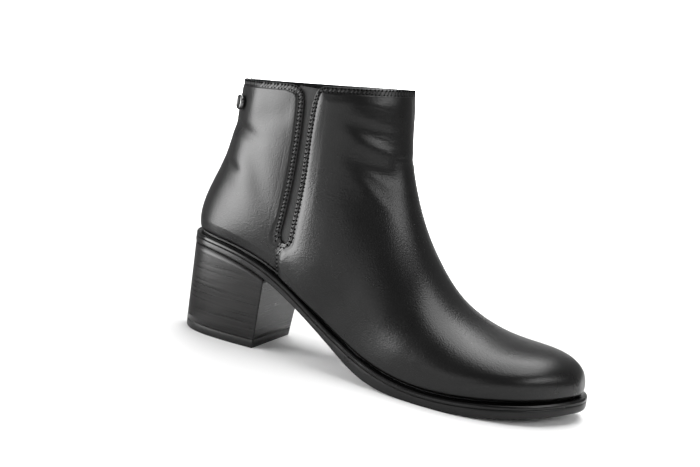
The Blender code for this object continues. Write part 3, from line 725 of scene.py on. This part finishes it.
def upper_margin():
    """Folded edge round the collar and the gore, with its pressed margin."""
    at, angle, turn = margin_grid()
    start = on_last(angle, turn)
    by_slot = smooth(*SLOT_BELOW_COLLAR, COLLAR_LEVEL - start[:, 2]) * (start[:, 1] < 0)
    evenly = np.ones(2 * SOFTENED + 1) / (2 * SOFTENED + 1)
    by_slot = np.convolve(np.pad(by_slot, SOFTENED, mode="wrap"), evenly, "valid")
    reach = STRIP_COLLAR + (STRIP_SLOT - STRIP_COLLAR) * by_slot
    rows = inward_rows(angle, turn, reach, STRIP_STEPS)
    lifted = []
    for i, (points, normal, way, row_angle, row_turn) in enumerate(rows):
        side = np.where(np.mod(row_turn, math.tau) <= math.pi, OUTER, INNER)
        x, z = points[:, 0], points[:, 2] - GAP
        gap = np.where(side < 0, np.maximum(slot_distance(x, z), 0), FAR)
        lift = relief(x, z, side, gap, below_topline(row_angle, x, z))
        sunk = MARGIN_SUNK * smooth(*MARGIN_SINKS, i / STRIP_STEPS)
        lifted.append(points + normal * (lift - sunk)[:, None])
    stack = np.stack(lifted)
    # Fold: the edge turns through half a circle and runs back inside
    first = np.clip(np.round(EDGE_RADIUS / (reach / STRIP_STEPS)).astype(int), 1, STRIP_STEPS - 1)
    pick = np.arange(len(at))
    base = stack[first, pick]
    plain, normal, way = (np.stack([row[part] for row in rows])[first, pick] for part in range(3))
    centre = base - normal * EDGE_RADIUS
    grid = [plain - normal * RETURN_DEPTH + way * back for back in RETURN_ROWS]
    for fold in np.linspace(math.pi, 0, FOLD_STEPS):
        grid.append(centre + EDGE_RADIUS * (math.cos(fold) * normal - math.sin(fold) * way))
    for share in np.linspace(0, 1, MARGIN_ROWS)[1:]:
        place = first + (STRIP_STEPS - first) * share
        low = np.floor(place).astype(int).clip(0, STRIP_STEPS - 1)
        mix = (place - low)[:, None]
        grid.append(stack[low, pick] * (1 - mix) + stack[low + 1, pick] * mix)
    points = np.stack(grid, axis=1)
    points = np.concatenate([points, points[:1]])
    finished("upper_margin", sheet(points), [LEATHER], closed=False)
    behind = (pick < np.argmin(start[:, 2])) & (by_slot > 0)
    strip = np.where(behind, QUARTER_STRIP, VAMP_STRIP) * by_slot + COLLAR_STRIP * (1 - by_slot)
    return at, rows, stack, reach, strip


# Lining inside the upper, and the elastic gore behind its opening

LINING_DEPTH, LINING_CUT = 1.72, 1.2
GORE_ENDS, GORE_STRAIGHT = (61.5, 153.4), (70.5, 146.0)
GORE_THICK, GORE_LAP = 1.2, 4.0
GORE_RIB, GORE_RIB_HEIGHT = 0.8, 0.1
GORE_HEM, GORE_HEM_FROM = 0.25, (146.0, 146.5)
GORE_ROWS, GORE_COLUMNS = 120, 90


def lining():
    _, side, points, normal = over_last(*LINING_GRID)
    gap = np.where(side < 0, slot_distance(points[..., 0], points[..., 2]), FAR)
    mesh = sheet(points - normal * LINING_DEPTH, cut=gap < LINING_CUT)
    bmesh.ops.reverse_faces(mesh, faces=mesh.faces)
    return finished("lining", mesh, [LINING], closed=False)


def outer_points(x, z, lift):
    """Points at a distance outside the plain last on its outer side."""
    angle, turn = turn_at(x, z)
    return on_last(angle, turn) + outward(angle, turn) * np.asarray(lift)[..., None]


def gore():
    z = np.linspace(*GORE_ENDS, GORE_ROWS)[:, None]
    held = np.clip(z, *GORE_STRAIGHT)
    start, end = x_on(SLOT_BACK, held) - GORE_LAP, x_on(SLOT_FRONT, held) + GORE_LAP
    x = start + (end - start) * np.linspace(0, 1, GORE_COLUMNS)
    z = np.broadcast_to(z, x.shape)
    rib = GORE_RIB_HEIGHT * np.abs(np.cos(math.pi * (x - start) / GORE_RIB))
    hem = GORE_HEM * smooth(*GORE_HEM_FROM, z)
    above = outer_points(x, z, rib + hem - GORE_DEPTH)
    below = outer_points(x, z, np.full(x.shape, -GORE_DEPTH - GORE_THICK))
    return finished("gore_elastic", slab(above, below), [ELASTIC], node="gore")


# Stitching: short slanted strands along the edges and down the seam, both ends sunk in needle holes, whose
# shade is painted as black blobs

STITCH_PITCH, STITCH_LONG, STITCH_THICK, STITCH_FLAT = 2.35, 3.0, 0.8, 0.6
STITCH_WAY, STITCH_RAISED = (0.6, 0.0, 0.8), 0.12
# Painted shade of a needle hole: a black blob this long and thick, raised this far over the leather
HOLE_SHADE_LONG, HOLE_SHADE_THICK, HOLE_SHADE_RAISED = 1.3, 1.15, 0.1
STITCH_PLACE = 0.54      # share of the pressed margin's breadth at which the row runs
SEAM_STITCHES, SEAM_STITCH_X = (45.0, 62.5), SEAM_X - 0.2


def strand(mesh, centre, ahead, out, long, thick):
    """One short length of thread lying on the leather."""
    made = bmesh.ops.create_uvsphere(mesh, u_segments=6, v_segments=5, radius=0.5)
    ahead, out = Vector(ahead).normalized(), Vector(out).normalized()
    across = out.cross(ahead).normalized()
    out = ahead.cross(across)
    turn = Matrix((across, out, ahead)).transposed().to_4x4()
    size = Matrix.Diagonal((thick, STITCH_FLAT * thick, long, 1.0))
    place = Matrix.Translation(Vector(centre + TO_FRAME)) @ turn @ size
    bmesh.ops.transform(mesh, matrix=Matrix.Scale(MM, 4) @ place, verts=made["verts"])


def stitch(threads, hole_shades, point, normal):
    """A strand, and a black blob of painted shade for the needle hole at each of its two ends."""
    along = unit(np.array(STITCH_WAY) - normal * np.dot(STITCH_WAY, normal))
    strand(threads, point + normal * STITCH_RAISED, along, normal, STITCH_LONG, STITCH_THICK)
    # Painted shade at both ends of the strand, where the needle holes are
    for end in (-0.5, 0.5):
        place = point + along * end * STITCH_LONG + normal * HOLE_SHADE_RAISED
        strand(hole_shades, place, along, normal, HOLE_SHADE_LONG, HOLE_SHADE_THICK)


def stitching(at, rows, stack, reach, strip):
    """Rows of stitches along the margin that was drawn, and down the seam below the gore."""
    steps = len(rows) - 1
    normals = np.stack([row[1] for row in rows])
    total = at[-1] + (at[1] - at[0])
    count = int(total / STITCH_PITCH)
    threads, hole_shades = bmesh.new(), bmesh.new()
    for k in range(count):
        i = int(k / count * len(at)) % len(at)
        j = min(steps, int(round(STITCH_PLACE * strip[i] / reach[i] * steps)))
        stitch(threads, hole_shades, stack[j, i], normals[j, i])
    for z in np.arange(*SEAM_STITCHES, STITCH_PITCH):
        x, height = np.array([SEAM_STITCH_X]), np.array([z])
        lift = relief(x, height, OUTER, slot_distance(x, height), np.array([FAR]))
        stitch(threads, hole_shades, outer_points(x, height, lift)[0], outward(*turn_at(x, height))[0])
    finished("stitching", threads, [THREAD], closed=False)
    # Black blobs of painted shade for the needle holes
    finished("needle_holes_painted_shade", hole_shades, [PAINTED_HOLE_SHADE], closed=False)


# Sole: welt and outsole as plates with worked edges, round the whole foot

SOLE_ROWS, SOLE_ACROSS = 260, 9
# Worked edge from the top down: distance inside the outline, share of the thickness
WELT_PROFILE = ((1.0, 0.0), (0.6, 0.06), (0.25, 0.2), (0.06, 0.38), (0.0, 0.55), (0.0, 0.75), (0.12, 0.92),
                (0.4, 1.0))
OUTSOLE_PROFILE = ((0.5, 0.0), (0.18, 0.03), (0.02, 0.1), (0.0, 0.3), (0.0, 0.7), (0.08, 0.9), (0.25, 0.97),
                   (0.6, 1.0))


def plate(top, bottom, profile):
    """Rings across the sole, one behind the other: over, down the outer edge, under, up the inner edge."""
    x = evenly_round(0, LENGTH, SOLE_ROWS)
    edges = {}
    for side in (OUTER, INNER):
        line = np.stack([x, side * sole_edge(x, side)], axis=1)
        run = np.gradient(line, axis=0)
        out = unit(np.stack([-run[:, 1], run[:, 0]], axis=1) * side)
        out[0], out[-1] = (-1, 0), (1, 0)
        high, low = top(x), bottom(x)
        columns = []
        for inside, share in profile:
            plan = line - out * inside
            columns.append(np.stack([plan[:, 0], plan[:, 1], high + (low - high) * share], axis=1))
        edges[side] = np.stack(columns, axis=1)
    across = np.linspace(0, 1, SOLE_ACROSS)[None, :, None]
    outer, inner = edges[OUTER], edges[INNER]
    over = inner[:, :1] * (1 - across) + outer[:, :1] * across
    under = outer[:, -1:] * (1 - across) + inner[:, -1:] * across
    ring = np.concatenate([over[:, :-1], outer, under[:, 1:-1], inner[:, ::-1]], axis=1)
    return sheet(ring)


def sole_seam(x):
    """Height of the seam between welt and outsole."""
    return sole_top(x) - (WELT + GAP) * sole_slant(x)


def sole_foot(x):
    return np.maximum(underside_height(x), 0)


def sole():
    finished("welt_edge", plate(sole_top, sole_seam, WELT_PROFILE), [WELT_EDGE], node="welt")
    finished("outsole_edge", plate(sole_seam, sole_foot, OUTSOLE_PROFILE), [SOLE_EDGE],
             node="outsole")


# Heel block and its top piece

HEEL_LEVELS, HEEL_SIDE, BREAST_STEPS, HEEL_CORNER = 14, 60, 14, 0.35
HEEL_HALF = 28.0         # half the heel's breadth, of which an inset takes its share
SEAT_INSET, FOOT_INSET = 0.5, 0.12
# Rings of the top piece from above: height, inset
TOP_PIECE_RINGS = ((TOP_PIECE + 0.2, 0.12), (TOP_PIECE, 0.0), (0.2, 0.36), (0.0, 0.55))


def heel_ring(share, back, breast):
    """Outline of the heel in plan: outer side to the breast, across it, and back along the inner side."""
    x = back + (breast - back) * (1 - np.cos(np.linspace(0, math.pi / 2, HEEL_SIDE)))
    outer = np.stack([x, -share * sole_edge(x - back, OUTER)], axis=1)
    inner = np.stack([x, share * sole_edge(x - back, INNER)], axis=1)
    corner, before = np.array([-HEEL_CORNER, 0.0]), np.array([-2 * HEEL_CORNER, 0.0])
    near = HEEL_CORNER / abs(outer[-1, 1] - inner[-1, 1])
    across = np.concatenate([[0], np.linspace(near, 1 - near, BREAST_STEPS), [1]])[:, None]
    start, end = outer[-1] + (0, HEEL_CORNER), inner[-1] - (0, HEEL_CORNER)
    line = start + (end - start) * across
    return np.concatenate([outer[:-1], outer[-1:] + before, outer[-1:] + corner, line,
                           inner[-1:] + corner, inner[-1:] + before, inner[-2::-1]])


def heel_seat(x):
    return underside_height(x) - GAP * sole_slant(x)


def heel_block(name, levels, material_used, node_name):
    """Rings between the heel's upper and lower outlines, closed above and below.

    A level is its share of the way up to the seat, the height where that way starts, and its inset.
    """
    rings = []
    for share, start, inset in levels:
        plan = heel_ring(*(np.array(HEEL_TOP) * share + np.array(HEEL_FOOT) * (1 - share)))
        height = start + (heel_seat(plan[:, 0]) - start) * share
        plan = plan - (plan - plan.mean(0)) * (inset / HEEL_HALF)
        rings.append(np.column_stack([plan, height]))
    middle_top = np.repeat(rings[0].mean(0)[None], len(rings[0]), axis=0)
    middle_low = np.repeat(rings[-1].mean(0)[None], len(rings[0]), axis=0)
    points = np.stack([middle_top, *rings, middle_low])
    points = np.concatenate([points, points[:, :1]], axis=1)
    return finished(name, sheet(points), [material_used], node=node_name)


def heel():
    foot = TOP_PIECE + GAP
    levels = [(share, foot, 0.0) for share in np.linspace(1, 0, HEEL_LEVELS)]
    heel_block("heel_stack", [(1.0, foot, SEAT_INSET), *levels, (0.0, foot, FOOT_INSET)], STACK, "heel")
    rings = [(0.0, height, inset) for height, inset in TOP_PIECE_RINGS]
    heel_block("heel_top_piece", rings, LIFT_RUBBER, "top_piece")


# Stud: plain, turned, with a raised rim

STUD_PROFILE = ((0, 0), (3.9, 0), (4.25, 0.3), (4.3, 0.7), (4.3, 1.9), (4.2, 2.3), (3.95, 2.55), (3.6, 2.6),
                (3.35, 2.5), (3.2, 2.25), (3.0, 2.1), (2.2, 2.18), (1.2, 2.26), (0, 2.3))
STUD_SUNK, STUD_FACE_FROM = 3.15, 1.0    # radius of the face within the rim, and the height it lies above
STUD_STEPS = 56


def stud():
    mesh = bmesh.new()
    verts = [mesh.verts.new((radius * MM, 0, height * MM)) for radius, height in STUD_PROFILE]
    edges = [mesh.edges.new(pair) for pair in zip(verts, verts[1:])]
    bmesh.ops.spin(mesh, geom=verts + edges, cent=(0, 0, 0), axis=(0, 0, 1), angle=math.tau,
                   steps=STUD_STEPS, use_merge=True)
    for face in mesh.faces:
        centre = face.calc_center_median()
        face.material_index = int(centre.xy.length < STUD_SUNK * MM and centre.z > STUD_FACE_FROM * MM)
    x, z = np.array(STUD_AT)[:, None]
    place = Vector((outer_points(x, z, np.array([GAP]))[0] + TO_FRAME) * MM)
    turn = Vector(outward(*turn_at(x, z))[0]).to_track_quat("Z", "Y").to_matrix().to_4x4()
    bmesh.ops.transform(mesh, matrix=Matrix.Translation(place) @ turn, verts=mesh.verts)
    return finished("stud_turned", mesh, [STUD_METAL, STUD_FACE], node="stud")


upper_leather()
margin = upper_margin()
lining()
gore()
stitching(*margin)
sole()
heel()
stud()
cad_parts["insole"].data.materials.clear()
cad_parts["insole"].data.materials.append(LINING)

# Camera, at the photograph's angle to the boot and rolled with it
AZIMUTH, ELEVATION, ROLL = math.radians(21.88), math.radians(10.645), math.radians(9.017)
DISTANCE, PIXELS_PER_MM, AIM, IMAGE = 799.46, 1.7801, (390.63, 240.72), (700, 467)
LOOK_AT = np.array([120.0, 0.0, 75.0])

view_back = Vector((math.sin(AZIMUTH) * math.cos(ELEVATION), -math.cos(AZIMUTH) * math.cos(ELEVATION),
                    math.sin(ELEVATION)))
level_right = Vector((math.cos(AZIMUTH), math.sin(AZIMUTH), 0))
level_up = view_back.cross(level_right)
right = level_right * math.cos(ROLL) + level_up * math.sin(ROLL)
up = level_up * math.cos(ROLL) - level_right * math.sin(ROLL)
lens = bpy.data.cameras.new("photo_camera")
lens.sensor_width = 36.0
lens.lens = PIXELS_PER_MM * DISTANCE / IMAGE[0] * lens.sensor_width
lens.shift_x = (IMAGE[0] / 2 - AIM[0]) / IMAGE[0]
lens.shift_y = (AIM[1] - IMAGE[1] / 2) / IMAGE[0]
lens.clip_start, lens.clip_end = 0.02, 50
camera = bpy.data.objects.new("photo_camera", lens)
eye = Vector((LOOK_AT + TO_FRAME) * MM) + view_back * DISTANCE * MM
camera.matrix_world = Matrix.Translation(eye) @ Matrix((right, up, view_back)).transposed().to_4x4()
bpy.context.scene.collection.objects.link(camera)
bpy.context.scene.camera = camera
bpy.context.scene.view_settings.view_transform = "Standard"


# Floor sweep and studio lights

FLOOR_BACK, FLOOR_FRONT, FLOOR_HALF, SWEEP_ROUND, SWEEP_HIGH = 2.6, -3.0, 6.0, 1.2, 3.0
SHEET_BACK, SHEET_FRONT, SHEET_LEFT, SHEET_RIGHT = 0.45, -0.75, -0.13, 0.7
LEFT_END, LEFT_BACK = -0.35, -0.07
FAR_LEVEL = -0.0005      # the far floor lies just under the sheet
ROOM_LIGHT = 0.27


def stage(name, mesh):
    """A piece of the set, which is no part of the boot."""
    item = placed(name, mesh, [PAPER])
    return item


def sweep():
    """Sheet under the boot, floor round it, and the paper that curves up far behind."""
    for name, left, right, front, back, level in (
            ("floor", SHEET_LEFT, SHEET_RIGHT, SHEET_FRONT, SHEET_BACK, 0.0),
            ("floor_left", LEFT_END, SHEET_LEFT, SHEET_FRONT, LEFT_BACK, 0.0),
            ("far_floor", -FLOOR_HALF, FLOOR_HALF, FLOOR_FRONT, FLOOR_BACK, FAR_LEVEL)):
        mesh = bmesh.new()
        bmesh.ops.create_grid(mesh, x_segments=2, y_segments=2, size=0.5)
        place = Matrix.Translation(((left + right) / 2, (back + front) / 2, level))
        size = Matrix.Diagonal((right - left, back - front, 1, 1))
        bmesh.ops.transform(mesh, matrix=place @ size, verts=mesh.verts)
        # The boot mirrors the sheet it stands on, and the dim room rather than the lit paper beyond
        stage(name, mesh).visible_glossy = name != "far_floor"
    mesh = bmesh.new()
    bmesh.ops.create_grid(mesh, x_segments=2, y_segments=40, size=0.5)
    for vert in mesh.verts:
        bend = (vert.co.y + 0.5) * SWEEP_HIGH
        turn = min(bend / SWEEP_ROUND, math.pi / 2)
        rest = bend - SWEEP_ROUND * turn
        vert.co = (vert.co.x * 2 * FLOOR_HALF, FLOOR_BACK + SWEEP_ROUND * math.sin(turn),
                   SWEEP_ROUND * (1 - math.cos(turn)) + rest)
    stage("backdrop", mesh).visible_glossy = False


def softbox(name, place, aim, size, radiance, spread=180.0, roll=0.0):
    """A soft light in metres, so many times as bright as a white sheet, kept out of the picture."""
    lamp = bpy.data.lights.new(name, "AREA")
    lamp.shape = "RECTANGLE"
    lamp.size, lamp.size_y = size
    lamp.energy = radiance * math.pi * size[0] * size[1]
    lamp.spread = math.radians(spread)
    item = bpy.data.objects.new(name, lamp)
    item.location = place
    turn = (Vector(aim) - Vector(place)).to_track_quat("-Z", "Y").to_matrix()
    item.rotation_euler = (turn @ Matrix.Rotation(math.radians(roll), 3, "Z")).to_euler()
    item.visible_camera = False
    bpy.context.scene.collection.objects.link(item)


sweep()
softbox("left_card", (-0.22, -0.117, 0.127), (-0.095, -0.027, 0.127), (0.145, 0.246), 3.4, 90)
softbox("left_card_end", (-0.163, -0.1956, 0.147), (-0.038, -0.1056, 0.147), (0.05, 0.206), 3.2, 90)
softbox("fill_card", (-0.135, -0.54, 0.1), (-0.03, 0, 0.11), (0.2, 0.2), 1.4)
softbox("camera_side_card", (0.075, -0.56, 0.13), (-0.03, 0, 0.11), (0.22, 0.26), 1.1)
softbox("overhead_softbox", (0.2, 0.5, 1.35), (0.2, 0.5, 0), (1.6, 0.91), 5.2, roll=-53)
softbox("floor_fill", (-0.6, 0.6, 1.0), (0, 0, 0), (0.6, 0.6), 3.0)
softbox("front_softbox", (0.94, -0.2, 0.54), (0, 0, 0.08), (0.44, 0.28), 4.4)
softbox("front_softbox_rim", (0.95, -0.2, 0.55), (0, 0, 0.08), (0.95, 0.38), 2.2)
softbox("back_card", (-0.18, 0.8, 0.14), (0.05, 0, 0.04), (0.5, 0.13), 1.0)
softbox("far_floor_light", (0.0, 2.0, 2.2), (0, 2.0, 0), (4.0, 1.5), 8, 70)
softbox("backdrop_light", (0.0, 1.6, 1.9), (0, 3.6, 0.8), (3.0, 1.0), 14)
world = bpy.data.worlds.new("studio")
world.use_nodes = True
world.node_tree.nodes["Background"].inputs["Color"].default_value = (1, 1, 1, 1)
world.node_tree.nodes["Background"].inputs["Strength"].default_value = ROOM_LIGHT
bpy.context.scene.world = world
